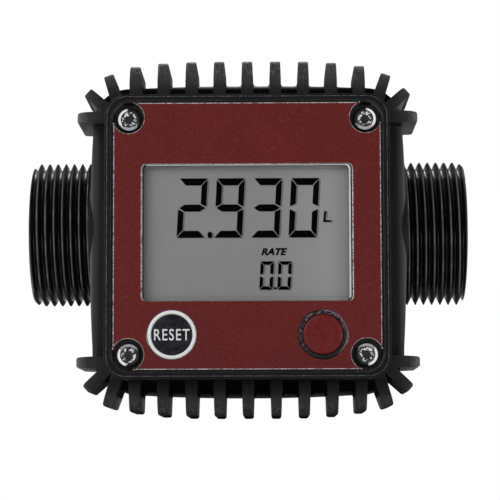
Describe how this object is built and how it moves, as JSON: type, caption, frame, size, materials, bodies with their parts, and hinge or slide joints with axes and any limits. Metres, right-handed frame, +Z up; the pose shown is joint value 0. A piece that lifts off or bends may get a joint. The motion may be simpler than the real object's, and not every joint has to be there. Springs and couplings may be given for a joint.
{
  "type": "in-line digital flow meter",
  "caption": "In-line liquid flow meter with threaded ports at both ends, a finned casing, a square battery display with two push buttons, and a turbine that turns between two guides in the duct.",
  "frame": {"origin": "centre of the inlet port's end face, on the flow axis", "axes": "+X along the flow from the inlet to the outlet, -Y out of the display, +Z up"},
  "size_m": [0.0994, 0.05, 0.0799],
  "materials": {
    "casing_plastic": "glass-filled moulded plastic, semi-matte black",
    "rotor_polymer": "engineering polymer, ivory",
    "magnet_metal": "nickel plated magnet",
    "shaft_steel": "ground stainless steel",
    "guide_polymer": "glass-filled engineering polymer, dark grey",
    "bush_carbon": "carbon-graphite",
    "spring_steel": "spring steel",
    "display_plastic": "fine moulded texture, black",
    "seal_rubber": "matte black",
    "plate_metal": "dark red metallic, bright worn edges",
    "window_clear": "clear gloss",
    "screw_steel": "bright zinc plated",
    "insert_brass": "machined",
    "button_dark": "dark blue-grey, slightly mottled",
    "bezel_white": "white ring",
    "plunger_plastic": "moulded actuator",
    "switch_metal": "stamped cover",
    "button_red": "dark red",
    "bezel_dark": "dark rough ring",
    "display_glass": "grey reflective liquid crystal glass",
    "frame_plastic": "black moulded plastic",
    "connector_rubber": "layered conductive rubber",
    "board_laminate": "green solder mask",
    "chip_plastic": "moulded package",
    "component_ceramic": "ceramic parts",
    "pin_gold": "gold plated pins",
    "contact_metal": "nickel plated spring leaf",
    "cell_jacket": "plain printed jacket"
  },
  "bodies": {
    "casing": {"meter_body": "casing_plastic", "inlet_guide": "guide_polymer", "outlet_guide": "guide_polymer", "inlet_bush": "bush_carbon", "outlet_bush": "bush_carbon", "inlet_ring": "spring_steel", "outlet_ring": "spring_steel", "display_housing": "display_plastic", "housing_seal": "seal_rubber", "face_plate": "plate_metal", "window_lens": "window_clear", "window_seal": "seal_rubber", "display_screws": "screw_steel", "screw_inserts": "insert_brass", "reset_bezel": "bezel_white", "reset_switch": "switch_metal", "calibration_bezel": "bezel_dark", "calibration_switch": "switch_metal", "lcd_glass": "display_glass", "lcd_frame": "frame_plastic", "lcd_connectors": "connector_rubber", "circuit_board": "board_laminate", "board_screws": "screw_steel", "controller_chip": "chip_plastic", "board_components": "component_ceramic", "sensor_board": "board_laminate", "hall_sensor": "chip_plastic", "sensor_pins": "pin_gold", "battery_holder": "frame_plastic", "battery_contacts": "contact_metal", "upper_cell": "cell_jacket", "lower_cell": "cell_jacket"},
    "rotor": {"turbine_rotor": "rotor_polymer", "rotor_magnets": "magnet_metal", "rotor_shaft": "shaft_steel"},
    "reset_key": {"reset_button": "button_dark", "reset_plunger": "plunger_plastic"},
    "calibration_key": {"calibration_button": "button_red", "calibration_plunger": "plunger_plastic"}
  },
  "joints": [
    {"name": "rotor_spin", "type": "hinge", "parent": "casing", "child": "rotor", "pos_m": [0.0497, 0, 0], "axis": [1, 0, 0], "continuous": true},
    {"name": "reset_press", "type": "slide", "parent": "casing", "child": "reset_key", "axis": [0, 1, 0], "range_m": [0, 0.0005], "stiffness_N_per_m": 4000},
    {"name": "calibration_press", "type": "slide", "parent": "casing", "child": "calibration_key", "axis": [0, 1, 0], "range_m": [0, 0.0005], "stiffness_N_per_m": 4000}
  ]
}
